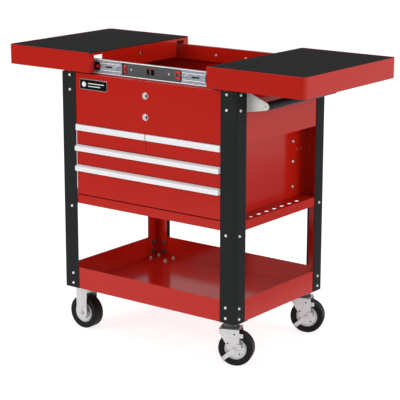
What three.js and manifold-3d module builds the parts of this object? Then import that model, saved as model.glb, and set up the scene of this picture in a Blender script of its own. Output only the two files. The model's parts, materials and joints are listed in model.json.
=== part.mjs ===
// Rolling tool chest: a four-drawer service cart with two sliding lids, a lower tray and four casters.
// Millimetres. +X points to the push handle's side, -Y to the drawer fronts, +Z up. The floor is z = 0.
import * as THREE from 'three';
import { mergeVertices } from 'three/addons/utils/BufferGeometryUtils.js';
import Module from 'manifold-3d';

const wasm = await Module();
wasm.setup();

// ---------------------------------------------------------------- driving dimensions

// Body
const bodyWidth = 800;
const bodyDepth = 558;
const postHeight = 826;
const gap = 0.3;
const sheet = 1.5;

// Corner posts: a textured guard outside, a leg angle inside
const guardFront = 69;
const guardSide = 58;
const guardSheet = 2;
const guardRadius = 9;
const legFlange = 54;
const legSheet = 2;

// Lower tray and middle shelf
const trayWall = 82;
const shelfHeight = 367;
const shelfSkirt = 33;
const toolHoleCount = 7;
const toolHolePitch = 48.5;
const toolHoleWidth = 13;
const toolHoleLength = 21;
const toolHoleInset = 24;
const toolHoleRowCentre = -11;

// Top box
const topBoxHeight = 189;
const railInset = 33;
const railHeight = 56;
const railFoot = 20;
const lockRadius = 10.5;
const lockDepths = [52, 129];
const lockLength = 26;
const lockProud = 4;

// Lid slides
const slideHeight = 53;
const slideLift = 3;
const slideSheet = 1.5;
const slideHalfLength = 390;
const fixedDepth = 12;
const middleDepth = 8.5;
const middleHeight = 44;
const middleOffset = 5.5;
const innerHeight = 33;
const innerDepth = 9;
const slideThickness = 20;
const slotWidths = [11.5, 16.5];
const slotCentres = [-12, 9];
const slotHeight = 24;

// Lids, in the place that they are left in
const lidLength = 401;
const lidDepth = 588;
const lidHeight = 74;
const lidLift = 7;
const lidLip = 4;
const lidRadius = 16;
const lidMeetingGap = 3;
const lidNotchTop = 8;
const lidNotchReach = 45;
const leftLidOpen = 249;
const rightLidOpen = 281;
const matThickness = 3;
const matMargin = 1;

// Drawers
const rowHeights = [76, 76, 114];
const rowClearance = 1.5;
const drawerSheet = 1.5;
const drawerBackSpace = 53.4;
const drawerSideGap = 14;
const drawerBoxDrop = 10;
const drawerFloorLift = 6;
const trimHeight = 23;
const trimReach = [6, 13, 13];
const trimLedge = [3, 8, 8];
const runnerHeight = 35;
const runnerDepth = 11;
const dividerThickness = 3;

// Push handle
const bracketReach = 90;
const bracketSetback = 1;
const bracketHeight = 74;
const bracketSheet = 3;
const bracketFoot = 18;
const bracketTipRadius = 14;
const gripRadius = 14.5;
const gripDrop = 47;
const gripBore = 11;

// Casters
const wheelRadius = 63.5;
const casterHeadroom = 38;
const wheelWidth = 48;
const hubRadius = 42.5;
const hubWidth = 52;
const axleRadius = 6;
const plateLength = 100;
const plateWidth = 76;
const plateThickness = 3;
const plateInset = 54;
const rigidPlateInset = 65;
const plateFrontInset = 48;
const forkSheet = 3;
const forkClearance = 2.5;
const rigidForkWidth = 50;
const swivelForkWidth = 34;
const crownDrop = 27;
const crownRadius = 37;
const raceRadius = 26;
const kingpinRadius = 7;
const trail = 22;
const swivelTurn = 22;
const leverLength = 56;
const leverTail = 20;
const leverWidth = 20;
const leverSheet = 2.5;
const leverSlope = 220;
const wheelFacets = 32;
const roundFacets = 24;

// ---------------------------------------------------------------- derived sizes

const halfW = bodyWidth / 2;
const halfD = bodyDepth / 2;
const trayBottom = 2 * wheelRadius + casterHeadroom;
const shelfTop = trayBottom + shelfHeight;
const bodyTop = trayBottom + postHeight;
const boxBottom = bodyTop - topBoxHeight;
const panelX = halfW - guardSheet - gap;
const panelY = halfD - guardSheet - gap;
const panelRadius = guardRadius - guardSheet - gap;
const legX = panelX - sheet - gap;
const legY = panelY - sheet - gap;
const caseX = halfW - guardFront;
const railY = halfD - railInset;
const innerWallY = railY + gap + slideThickness;
const lidBottom = bodyTop + lidLift;
const lidTop = lidBottom + lidHeight;
const slideMiddle = bodyTop + slideLift + slideHeight / 2;
const leftInnerEnd = -leftLidOpen;
const rightInnerEnd = rightLidOpen;
const leftOuterEnd = leftInnerEnd - lidLength;
const rightOuterEnd = rightInnerEnd + lidLength;
const drawerFront = panelY;
const drawerBoxDepth = 2 * panelY - drawerBackSpace;
const frontReach = Math.max(halfD, lidDepth / 2, drawerFront + Math.max(...trimReach) + gap);
const backReach = Math.max(halfD, lidDepth / 2);
const centreX = (leftOuterEnd + rightOuterEnd) / 2;
const centreY = (backReach - frontReach) / 2;

// ---------------------------------------------------------------- solids

function solid(geometry) {
  const plain = geometry.index ? geometry.toNonIndexed() : geometry.clone();
  plain.deleteAttribute('normal');
  plain.deleteAttribute('uv');
  const merged = mergeVertices(plain, 1e-4);
  return new wasm.Manifold(new wasm.Mesh({
    numProp: 3,
    vertProperties: new Float32Array(merged.attributes.position.array),
    triVerts: new Uint32Array(merged.index.array),
  }));
}

function geometryOf(manifold) {
  const mesh = manifold.getMesh();
  const geometry = new THREE.BufferGeometry();
  geometry.setAttribute('position', new THREE.BufferAttribute(mesh.vertProperties, 3));
  geometry.setIndex(new THREE.BufferAttribute(mesh.triVerts, 1));
  const faceted = geometry.toNonIndexed();
  faceted.computeVertexNormals();
  return faceted;
}

function join(first, ...others) {
  return others.reduce((sum, next) => sum.add(next), first);
}

function cut(first, ...others) {
  return others.reduce((rest, next) => rest.subtract(next), first);
}

// A block from one corner to the other, each axis given as its two ends in any order.
function block(xs, ys, zs) {
  const size = [xs, ys, zs].map(([a, b]) => Math.abs(b - a));
  const middle = [xs, ys, zs].map(([a, b]) => (a + b) / 2);
  const geometry = new THREE.BoxGeometry(...size);
  geometry.translate(...middle);
  return solid(geometry);
}

// The outline's two coordinates are the two axes left over, in X, Y, Z order.
function prism(outline, axis, from, to) {
  const shape = new THREE.Shape(outline.map(([a, b]) => new THREE.Vector2(a, b)));
  const options = { depth: to - from, bevelEnabled: false };
  const geometry = new THREE.ExtrudeGeometry(shape, options);
  const place = new THREE.Matrix4();
  if (axis === 'x') place.set(0, 0, 1, from, 1, 0, 0, 0, 0, 1, 0, 0, 0, 0, 0, 1);
  if (axis === 'y') place.set(1, 0, 0, 0, 0, 0, -1, to, 0, 1, 0, 0, 0, 0, 0, 1);
  if (axis === 'z') place.makeTranslation(0, 0, from);
  geometry.applyMatrix4(place);
  return solid(geometry);
}

function arc(cx, cy, radius, startDegrees, endDegrees, steps) {
  const points = [];
  for (let i = 0; i <= steps; i += 1) {
    const angle = THREE.MathUtils.degToRad(startDegrees + (endDegrees - startDegrees) * i / steps);
    points.push([cx + radius * Math.cos(angle), cy + radius * Math.sin(angle)]);
  }
  return points;
}

function rod(axis, centre, radius, from, to, facets = roundFacets) {
  return prism(arc(centre[0], centre[1], radius, 0, 360 - 360 / facets, facets - 1), axis, from, to);
}

// A body of revolution about Y from a closed half outline of [radius, y] points.
function turned(outline, facets, phase = 0) {
  const points = outline.map(([radius, along]) => new THREE.Vector2(radius, along));
  points.push(points[0].clone());
  return solid(new THREE.LatheGeometry(points, facets, phase));
}

function roundedOutline(x, y, radii) {
  const [rightBack, leftBack, leftFront, rightFront] = radii;
  const corner = (sx, sy, radius, start) => (radius > 0
    ? arc(sx * (x - radius), sy * (y - radius), radius, start, start + 90, 4)
    : [[sx * x, sy * y]]);
  return [
    ...corner(1, 1, rightBack, 0),
    ...corner(-1, 1, leftBack, 90),
    ...corner(-1, -1, leftFront, 180),
    ...corner(1, -1, rightFront, 270),
  ];
}

function roundedBlock(x, y, radius, zs) {
  return prism(roundedOutline(x, y, [radius, radius, radius, radius]), 'z', zs[0], zs[1]);
}

// An angle section whose outer corner is at (sx * x, sy * y).
function angle(sx, sy, x, y, flangeX, flangeY, thickness, radius, zs) {
  const inner = Math.max(radius - thickness, 0.2);
  const outline = [
    [x - flangeX, y],
    ...arc(x - radius, y - radius, radius, 90, 0, 5),
    [x, y - flangeY],
    [x - thickness, y - flangeY],
    ...arc(x - thickness - inner, y - thickness - inner, inner, 0, 90, 5),
    [x - flangeX, y - thickness],
  ];
  return prism(outline.map(([a, b]) => [sx * a, sy * b]), 'z', zs[0], zs[1]);
}

// ---------------------------------------------------------------- finishes

const finishes = {
  redPaint: { color: 0xb2241c, roughness: 0.28, metalness: 0.1 },
  blackTexture: { color: 0x25292b, roughness: 0.7, metalness: 0.1 },
  matRubber: { color: 0x262727, roughness: 0.85, metalness: 0 },
  zinc: { color: 0xc3c5c8, roughness: 0.35, metalness: 0.9 },
  greySteel: { color: 0x505357, roughness: 0.5, metalness: 0.6 },
  aluminium: { color: 0xdfe2e4, roughness: 0.4, metalness: 0.8 },
  chrome: { color: 0xd8dadc, roughness: 0.15, metalness: 1 },
  bracketGrey: { color: 0xb8b8b2, roughness: 0.45, metalness: 0.5 },
  gripVinyl: { color: 0x2c3338, roughness: 0.5, metalness: 0 },
  tyreRubber: { color: 0x171717, roughness: 0.75, metalness: 0 },
};

const cart = new THREE.Group();
cart.position.set(-centreX, -centreY, 0);

function piece(name, manifold, finish, parent = cart) {
  const mesh = new THREE.Mesh(geometryOf(manifold), new THREE.MeshStandardMaterial(finishes[finish]));
  mesh.name = name;
  parent.add(mesh);
  return mesh;
}

const corners = [
  { place: 'front_left', sx: -1, sy: -1 },
  { place: 'front_right', sx: 1, sy: -1 },
  { place: 'rear_left', sx: -1, sy: 1 },
  { place: 'rear_right', sx: 1, sy: 1 },
];

// ---------------------------------------------------------------- corner posts

const legBottom = trayBottom + sheet + gap;
const legTop = bodyTop - sheet - gap;

for (const { place, sx, sy } of corners) {
  const guard = angle(sx, sy, halfW, halfD, guardFront, guardSide, guardSheet, guardRadius,
    [trayBottom, bodyTop]);
  piece(`corner_guard_${place}`, guard, 'blackTexture');
  const leg = angle(sx, sy, legX, legY, legFlange, legFlange, legSheet, panelRadius - sheet - gap,
    [legBottom, legTop]);
  piece(`leg_${place}`, leg, 'redPaint');
}

// Room for the four legs through a sheet that lies between the two heights.
function legSlots(zs) {
  return corners.map(({ sx, sy }) => angle(sx, sy, legX + gap, legY + gap, legFlange + 2 * gap,
    legFlange + 2 * gap, legSheet + 2 * gap, panelRadius - sheet, zs));
}

// ---------------------------------------------------------------- tray, shelf, top box, drawer case

function pan(zs, floorAt) {
  const outside = roundedBlock(panelX, panelY, panelRadius, zs);
  const inner = floorAt === 'bottom' ? [zs[0] + sheet, zs[1] + 1] : [zs[0] - 1, zs[1] - sheet];
  const inside = roundedBlock(panelX - sheet, panelY - sheet, panelRadius - sheet, inner);
  return cut(outside, inside);
}

piece('lower_tray', pan([trayBottom, trayBottom + trayWall], 'bottom'), 'redPaint');

function toolHoles() {
  const x = halfW - toolHoleInset;
  const radius = toolHoleWidth / 2;
  const holes = [];
  for (let i = 0; i < toolHoleCount; i += 1) {
    const y = toolHoleRowCentre + (i - (toolHoleCount - 1) / 2) * toolHolePitch;
    const straight = i === 0 ? 0 : (toolHoleLength - toolHoleWidth) / 2;
    const outline = [
      ...arc(x, y + straight, radius, 0, 180, 8),
      ...arc(x, y - straight - 0.01, radius, 180, 360, 8),
    ];
    holes.push(prism(outline, 'z', shelfTop - 5, shelfTop + 5));
  }
  return holes;
}

const shelfPan = pan([shelfTop - shelfSkirt, shelfTop], 'top');
const shelf = cut(shelfPan, ...legSlots([shelfTop - 5, shelfTop + 5]), ...toolHoles());
piece('middle_shelf', shelf, 'redPaint');

function topBox() {
  let box = pan([boxBottom, bodyTop], 'bottom');
  const sides = [-1, 1];
  const flangeEdge = railY - gap;
  for (const side of sides) {
    const flange = block([-panelX + panelRadius, panelX - panelRadius],
      [side * flangeEdge, side * (panelY - sheet / 2)], [bodyTop - sheet, bodyTop]);
    box = join(box, flange);
  }
  const lockHoles = lockDepths.map((depth) => rod('y', [0, bodyTop - depth], lockRadius + gap,
    -panelY - 5, -panelY + 5));
  return cut(box, ...legSlots([boxBottom - 5, boxBottom + 5]), ...lockHoles);
}

piece('top_box', topBox(), 'redPaint');

const caseBottom = shelfTop + gap;
const caseTop = boxBottom - gap;

function drawerCase() {
  const back = halfW - guardRadius;
  const front = -panelY + sheet + rowClearance;
  const half = [
    [caseX, front],
    [caseX, panelY - sheet],
    [back, panelY - sheet],
    [back, panelY],
  ];
  const otherHalf = half.map(([x, y]) => [-x, y]).reverse();
  const inside = [
    [-caseX + sheet, front],
    [-caseX + sheet, panelY - sheet],
    [caseX - sheet, panelY - sheet],
    [caseX - sheet, front],
  ];
  return prism([...half, ...otherHalf, ...inside], 'z', caseBottom, caseTop);
}

piece('drawer_case', drawerCase(), 'redPaint');

// ---------------------------------------------------------------- locks

for (const [index, depth] of lockDepths.entries()) {
  const names = ['lid_lock_cylinder', 'drawer_lock_cylinder'];
  const z = bodyTop - depth;
  const barrel = rod('y', [0, z], lockRadius, -panelY - sheet, -panelY + lockLength);
  const face = rod('y', [0, z], lockRadius + 1.5, -panelY - lockProud, -panelY - gap);
  const keyway = block([-1, 1], [-panelY - lockProud - 1, -panelY + 4], [z - 4.5, z + 4.5]);
  piece(names[index], cut(join(barrel, face), keyway), 'chrome');
}

// ---------------------------------------------------------------- lid rails and slides

const slideZ = [bodyTop + slideLift, bodyTop + slideLift + slideHeight];

// A channel along X that opens outwards, towards the front or the back.
function channel(side, xs, back, depth, height) {
  const low = slideMiddle - height / 2;
  const high = slideMiddle + height / 2;
  const web = block(xs, [side * back, side * (back + slideSheet)], [low, high]);
  const flanges = [[low, low + slideSheet], [high - slideSheet, high]].map((zs) => block(xs,
    [side * back, side * (back + depth)], zs));
  return join(web, ...flanges);
}

for (const [name, side] of [['front', -1], ['rear', 1]]) {
  const xs = [-slideHalfLength, slideHalfLength];
  const web = block(xs, [side * (railY - sheet), side * railY], [bodyTop + gap, bodyTop + railHeight]);
  const foot = block(xs, [side * (railY - sheet), side * (railY + railFoot)],
    [bodyTop + gap, bodyTop + gap + sheet]);
  piece(`${name}_lid_rail`, join(web, foot), 'redPaint');

  const fixed = channel(side, xs, railY + gap, fixedDepth, slideHeight);
  const slots = slotCentres.map((x, i) => block([x - slotWidths[i] / 2, x + slotWidths[i] / 2],
    [side * railY, side * (railY + gap + slideSheet + 1)],
    [slideMiddle - slotHeight / 2, slideMiddle + slotHeight / 2]));
  piece(`${name}_slide_channel`, cut(fixed, ...slots), 'greySteel');
}

// The middle members run half as far as the lids do.
const middleEnds = {
  left: [-slideHalfLength - leftLidOpen / 2, -lidMeetingGap - leftLidOpen / 2],
  right: [lidMeetingGap + rightLidOpen / 2, slideHalfLength + rightLidOpen / 2],
};

for (const [end, xs] of Object.entries(middleEnds)) {
  for (const [name, side] of [['front', -1], ['rear', 1]]) {
    const member = channel(side, xs, railY + gap + middleOffset, middleDepth, middleHeight);
    piece(`${end}_lid_${name}_slide_member`, member, 'zinc');
  }
}

// ---------------------------------------------------------------- lids and mats

// The lid is drawn as the left one, with its inner end at x = 0 and its outer end at -lidLength.
function lidOutline(inset, overrun = 0) {
  const x = (lidLength + overrun - inset) / 2;
  const radius = lidRadius - inset;
  const outline = roundedOutline(x, lidDepth / 2 - inset, [0, radius, radius, 0]);
  return outline.map(([a, b]) => [a - x + overrun, b]);
}

function lid() {
  const shell = prism(lidOutline(0), 'z', lidBottom, lidTop);
  const recess = prism(lidOutline(sheet, 1), 'z', lidTop - lidLip, lidTop + 1);
  const hollow = prism(lidOutline(sheet, 1), 'z', lidBottom - 1, lidTop - lidLip - sheet);
  const lowInnerEnd = block([-sheet - 0.5, 1], [-lidDepth, lidDepth], [lidTop - lidLip, lidTop + 1]);
  const innerEnd = block([-sheet, 0], [-lidDepth / 2 + sheet / 2, lidDepth / 2 - sheet / 2],
    [lidBottom, lidTop - lidLip]);
  let body = join(cut(shell, recess, hollow, lowInnerEnd), innerEnd);
  for (const side of [-1, 1]) {
    const notch = block([-sheet - 1, 1], [side * (innerWallY - lidNotchReach), side * innerWallY],
      [lidBottom - 1, lidTop - lidLip - lidNotchTop]);
    const wallEnds = [-lidLength + lidRadius, -sheet / 2];
    const wall = block(wallEnds, [side * innerWallY, side * (innerWallY + sheet)],
      [lidBottom, lidTop - lidLip - sheet / 2]);
    const memberEnds = [-lidLength + lidRadius, -sheet - gap];
    const member = block(memberEnds, [side * (innerWallY - innerDepth), side * (innerWallY + sheet / 2)],
      [slideMiddle - innerHeight / 2, slideMiddle + innerHeight / 2]);
    const groove = block([-lidLength, 1],
      [side * (innerWallY - innerDepth - 1), side * (innerWallY - slideSheet)],
      [slideMiddle - innerHeight / 2 + slideSheet, slideMiddle + innerHeight / 2 - slideSheet]);
    body = join(cut(body, notch), wall, cut(member, groove));
  }
  return body;
}

function lidMat() {
  const inset = sheet + matMargin;
  const bottom = lidTop - lidLip + gap;
  return prism(lidOutline(inset), 'z', bottom, bottom + matThickness);
}

const lidSolid = lid();
const matSolid = lidMat();
const mirrored = (manifold) => manifold.mirror([1, 0, 0]);
const leftLid = new THREE.Group();
leftLid.position.x = leftInnerEnd;
cart.add(leftLid);
piece('left_lid', lidSolid, 'redPaint', leftLid);
piece('left_lid_mat', matSolid, 'matRubber', leftLid);
const rightLid = new THREE.Group();
rightLid.position.x = rightInnerEnd;
cart.add(rightLid);
piece('right_lid', mirrored(lidSolid), 'redPaint', rightLid);
piece('right_lid_mat', mirrored(matSolid), 'matRubber', rightLid);

// ---------------------------------------------------------------- drawers

const rowTops = rowHeights.map((_, row) => boxBottom - rowClearance
  - rowHeights.slice(0, row).reduce((sum, height) => sum + height, 0));
const frontEdge = caseX - rowClearance / 2;

// A drawer between two x values, drawn with its front sheet and its open box behind it.
function drawer(xs, row) {
  const top = rowTops[row];
  const bottom = top - rowHeights[row] + rowClearance;
  const back = -drawerFront + drawerBoxDepth;
  const low = bottom + drawerFloorLift;
  const high = top - drawerBoxDrop;
  const front = block(xs, [-drawerFront, -drawerFront + drawerSheet], [bottom, top]);
  const boxXs = [xs[0] + drawerSideGap, xs[1] - drawerSideGap];
  const outside = block(boxXs, [-drawerFront + drawerSheet / 2, back], [low, high]);
  const inside = block([boxXs[0] + drawerSheet, boxXs[1] - drawerSheet],
    [-drawerFront + drawerSheet, back - drawerSheet], [low + drawerSheet, high + 1]);
  return join(cut(outside, inside), front);
}

// The full-length pull along a drawer's top edge: a face with a ledge that slopes back above it.
function trim(xs, row) {
  const top = rowTops[row];
  const near = -drawerFront - gap;
  const far = near - trimReach[row];
  const ledge = trimLedge[row];
  const outline = [
    [near, top],
    [far + ledge / 2, top - ledge / 2],
    [far, top - ledge],
    [far, top - trimHeight],
    [far + sheet, top - trimHeight],
    [far + sheet, top - ledge - sheet],
    [near - sheet, top - ledge / 2 - sheet],
    [near - sheet, top - trimHeight],
    [near, top - trimHeight],
  ];
  return prism(outline, 'x', xs[0], xs[1]);
}

// The case's half of a drawer slide: a channel that opens towards the drawer.
function runner(wallX, towards, row) {
  const middle = (rowTops[row] + rowTops[row] - rowHeights[row]) / 2;
  const zs = [middle - runnerHeight / 2, middle + runnerHeight / 2];
  const ys = [-drawerFront + 8, -drawerFront + drawerBoxDepth];
  const outside = block([wallX, wallX + towards * runnerDepth], ys, zs);
  const inside = block([wallX + towards * slideSheet, wallX + towards * (runnerDepth + 1)],
    [ys[0] - 1, ys[1] + 1], [zs[0] + slideSheet, zs[1] - slideSheet]);
  return cut(outside, inside);
}

const seam = rowClearance / 2;
const drawerSpans = [
  { name: 'upper_left', row: 0, xs: [-frontEdge, -seam] },
  { name: 'upper_right', row: 0, xs: [seam, frontEdge] },
  { name: 'middle', row: 1, xs: [-frontEdge, frontEdge] },
  { name: 'lower', row: 2, xs: [-frontEdge, frontEdge] },
];
const runnerWall = caseX - sheet - gap;

for (const { name, row, xs } of drawerSpans) {
  piece(`${name}_drawer`, drawer(xs, row), 'redPaint');
  piece(`${name}_drawer_trim`, trim(xs, row), 'aluminium');
}

for (const [row, level] of ['upper', 'middle', 'lower'].entries()) {
  piece(`${level}_runner_left`, runner(-runnerWall, 1, row), 'zinc');
  piece(`${level}_runner_right`, runner(runnerWall, -1, row), 'zinc');
}

// The divider between the two upper drawers carries a slide on each side.
function divider() {
  const half = dividerThickness / 2;
  const ys = [-drawerFront + drawerSheet + rowClearance, panelY - sheet - gap];
  const wall = block([-half, half], ys, [rowTops[0] - rowHeights[0], caseTop]);
  return join(wall, runner(-half, -1, 0), runner(half, 1, 0));
}

piece('upper_drawer_divider', divider(), 'zinc');

// ---------------------------------------------------------------- push handle

const gripX = halfW + bracketReach - bracketTipRadius;
const gripZ = bodyTop - gripDrop;
const bracketY = halfD - guardSide - bracketSetback;

for (const [name, side] of [['front', -1], ['rear', 1]]) {
  const rootX = panelX + gap;
  const rootTop = bodyTop - 1;
  const tip = arc(gripX, gripZ, bracketTipRadius, -80, 62, 8);
  const outline = [[rootX, rootTop - bracketHeight], ...tip, [rootX, rootTop]];
  const outer = side * bracketY;
  const inner = side * (bracketY - bracketSheet);
  const plate = prism(outline, 'y', Math.min(outer, inner), Math.max(outer, inner));
  const foot = block([rootX, rootX + bracketSheet], [inner, side * (bracketY - bracketSheet - bracketFoot)],
    [rootTop - bracketHeight + 6, rootTop - 12]);
  const overlap = block([rootX, rootX + bracketSheet], [outer, inner],
    [rootTop - bracketHeight + 6, rootTop - 12]);
  piece(`handle_bracket_${name}`, join(plate, overlap, foot), 'bracketGrey');
}

const gripEnd = bracketY - bracketSheet - gap;
const gripTube = rod('y', [gripX, gripZ], gripRadius, -gripEnd, gripEnd);
const gripHole = rod('y', [gripX, gripZ], gripBore, -gripEnd - 1, gripEnd + 1);
piece('handle_grip', cut(gripTube, gripHole), 'gripVinyl');

// ---------------------------------------------------------------- casters

// Each caster is drawn about its own plate's centre, with the wheel's axle along Y.
const plateTop = trayBottom - gap;
const legInside = hubWidth / 2 + forkClearance;
const legOutside = legInside + forkSheet;
const facetRadius = wheelRadius / Math.cos(Math.PI / wheelFacets);

function tyre() {
  const half = wheelWidth / 2;
  const bore = hubRadius + gap;
  const outline = [
    [bore, -half + 3],
    [facetRadius - 9, -half],
    [facetRadius - 3, -half + 4],
    [facetRadius, -half + 11],
    [facetRadius, half - 11],
    [facetRadius - 3, half - 4],
    [facetRadius - 9, half],
    [bore, half - 3],
  ];
  return turned(outline, wheelFacets);
}

function hub() {
  const half = hubWidth / 2;
  const rim = wheelWidth / 2 - 4;
  const outline = [
    [axleRadius + gap, -half],
    [axleRadius + 8, -half],
    [axleRadius + 10, -rim + 6],
    [hubRadius - 5, -rim + 6],
    [hubRadius - 2, -rim],
    [hubRadius, -rim],
    [hubRadius, rim],
    [hubRadius - 2, rim],
    [hubRadius - 5, rim - 6],
    [axleRadius + 10, rim - 6],
    [axleRadius + 8, half],
    [axleRadius + gap, half],
  ];
  return turned(outline, roundFacets);
}

// The wheel stands on a facet, so its lowest line is the floor.
function stand(manifold, facets) {
  return manifold.rotate([0, 180 / facets + 90, 0]);
}

function axle(x, reach) {
  const shank = rod('y', [x, wheelRadius], axleRadius, -reach, reach);
  const heads = [-1, 1].map((side) => rod('y', [x, wheelRadius], axleRadius + 3,
    Math.min(side * (reach - 5), side * reach), Math.max(side * (reach - 5), side * reach), 6));
  return join(shank, ...heads);
}

function topPlate() {
  return roundedBlock(plateLength / 2, plateWidth / 2, 8, [plateTop - plateThickness, plateTop]);
}

// Two cheeks from an outline of [x, z] points.
function cheeks(outline) {
  return [-1, 1].map((side) => prism(outline, 'y',
    Math.min(side * legInside, side * legOutside), Math.max(side * legInside, side * legOutside)));
}

function rigidFork() {
  const half = rigidForkWidth / 2;
  const outline = [
    ...arc(0, wheelRadius, half, 180, 360, 8),
    [half, plateTop - plateThickness / 2],
    [-half, plateTop - plateThickness / 2],
  ];
  return join(topPlate(), ...cheeks(outline), axle(0, legOutside + 6));
}

const crownTop = plateTop - crownDrop;
const crownBottom = crownTop - forkSheet;

function swivelPlate() {
  const race = rod('z', [0, 0], raceRadius, crownTop + 1.5, plateTop - plateThickness / 2);
  const pin = rod('z', [0, 0], kingpinRadius, crownBottom - 4, plateTop - plateThickness / 2);
  const rivet = rod('z', [0, 0], kingpinRadius + 4, crownBottom - 5, crownBottom - gap);
  return join(topPlate(), race, pin, rivet);
}

function swivelFork() {
  const half = swivelForkWidth / 2;
  const outline = [
    [-crownRadius, crownTop],
    [-crownRadius + 2, crownTop - 16],
    ...arc(trail, wheelRadius, half, 200, 350, 8),
    [crownRadius + 2, crownTop - 16],
    [crownRadius, crownTop],
  ];
  const crown = block([-crownRadius, crownRadius], [-legOutside, legOutside], [crownBottom, crownTop]);
  const pinHole = rod('z', [0, 0], kingpinRadius + gap, crownBottom - 5, crownTop + 5);
  const reach = legOutside + leverSheet + 6;
  return cut(join(crown, ...cheeks(outline), axle(trail, reach)), pinHole);
}

// The brake lever is a strap on the outer end of the axle, with a foot pad bent outwards.
function brakeLever() {
  const half = leverWidth / 2;
  const back = -legOutside - gap;
  const front = back - leverSheet;
  const strap = prism([
    ...arc(-leverTail, 0, half, 90, 270, 6),
    [leverLength, -half * 0.7],
    [leverLength, half * 0.7],
  ], 'y', front, back);
  const pad = block([leverLength - leverSheet, leverLength], [front - 7, back], [-half * 0.9, half * 0.9]);
  const eye = rod('y', [0, 0], axleRadius + gap, front - 10, back + 10);
  const lever = cut(join(strap, pad), eye);
  return lever.rotate([0, -leverSlope, 0]).translate([trail, 0, wheelRadius]);
}

const tyreSolid = stand(tyre(), wheelFacets);
const hubSolid = stand(hub(), roundFacets);

for (const { place, sx, sy } of corners) {
  const caster = new THREE.Group();
  const inset = sx < 0 ? rigidPlateInset : plateInset;
  caster.position.set(sx * (halfW - inset), sy * (halfD - plateFrontInset), 0);
  cart.add(caster);
  const wheel = new THREE.Group();
  wheel.position.z = wheelRadius;
  if (sx < 0) {
    piece(`rigid_fork_${place}`, rigidFork(), 'zinc', caster);
    caster.add(wheel);
  } else {
    piece(`swivel_plate_${place}`, swivelPlate(), 'zinc', caster);
    const swivel = new THREE.Group();
    swivel.rotation.z = THREE.MathUtils.degToRad(swivelTurn);
    caster.add(swivel);
    piece(`swivel_fork_${place}`, swivelFork(), 'zinc', swivel);
    piece(`brake_lever_${place}`, brakeLever(), 'zinc', swivel);
    wheel.position.x = trail;
    swivel.add(wheel);
  }
  piece(`tyre_${place}`, tyreSolid, 'tyreRubber', wheel);
  piece(`wheel_hub_${place}`, hubSolid, 'zinc', wheel);
}

export default cart;
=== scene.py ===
import json
import math

import bpy
from mathutils import Matrix, Vector


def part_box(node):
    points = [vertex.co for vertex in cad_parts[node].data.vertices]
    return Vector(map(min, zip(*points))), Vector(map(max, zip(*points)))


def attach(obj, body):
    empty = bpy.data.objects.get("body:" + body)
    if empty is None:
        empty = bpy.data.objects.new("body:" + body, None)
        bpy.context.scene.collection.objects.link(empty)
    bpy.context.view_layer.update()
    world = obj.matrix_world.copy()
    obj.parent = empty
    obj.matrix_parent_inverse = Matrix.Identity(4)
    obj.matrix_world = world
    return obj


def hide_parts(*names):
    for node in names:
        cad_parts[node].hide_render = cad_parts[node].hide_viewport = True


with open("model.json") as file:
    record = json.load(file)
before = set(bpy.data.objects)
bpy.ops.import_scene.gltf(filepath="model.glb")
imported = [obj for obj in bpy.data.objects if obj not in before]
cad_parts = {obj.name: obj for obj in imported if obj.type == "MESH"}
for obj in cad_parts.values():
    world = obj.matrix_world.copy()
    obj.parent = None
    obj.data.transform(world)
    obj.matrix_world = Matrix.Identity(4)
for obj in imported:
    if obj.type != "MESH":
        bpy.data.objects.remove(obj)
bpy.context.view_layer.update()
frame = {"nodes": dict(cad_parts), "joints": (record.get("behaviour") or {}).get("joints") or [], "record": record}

FACING = 0.99               # a face whose normal reaches this along an axis looks that way
SAME = 1e-6                 # lengths closer than this are equal
ONE_RIDGE = 0.314           # the wave texture's scale that gives one ridge for each unit
CORNERS = (
    ("front_left", -1, -1),
    ("front_right", 1, -1),
    ("rear_left", -1, 1),
    ("rear_right", 1, 1),
)
FRONT_REAR = (("front", -1), ("rear", 1))
LEFT_RIGHT = (("left", -1), ("right", 1))
LEVELS = ("upper", "middle", "lower")
DRAWERS = ("upper_left", "upper_right", "middle", "lower")
BODY_OF_NODE = {
    node: body
    for body, nodes in frame["record"]["behaviour"]["bodies"].items()
    for node in nodes
}
SLOT_OF_NODE = {row["node"]: row["material_slot"] for row in frame["record"]["subparts"]}


# ---------------------------------------------------------------- shader writing

class Value:
    """A number that varies over a surface. Arithmetic on it adds Math nodes."""

    def __init__(self, finish, socket):
        self.finish = finish
        self.socket = socket

    def math(self, operation, *values):
        return self.finish.node("ShaderNodeMath", {"operation": operation}, dict(enumerate(values)))

    def __add__(self, other):
        return self.math("ADD", self, other)

    def __radd__(self, other):
        return self.math("ADD", other, self)

    def __sub__(self, other):
        return self.math("SUBTRACT", self, other)

    def __rsub__(self, other):
        return self.math("SUBTRACT", other, self)

    def __mul__(self, other):
        return self.math("MULTIPLY", self, other)

    def __rmul__(self, other):
        return self.math("MULTIPLY", other, self)


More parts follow.
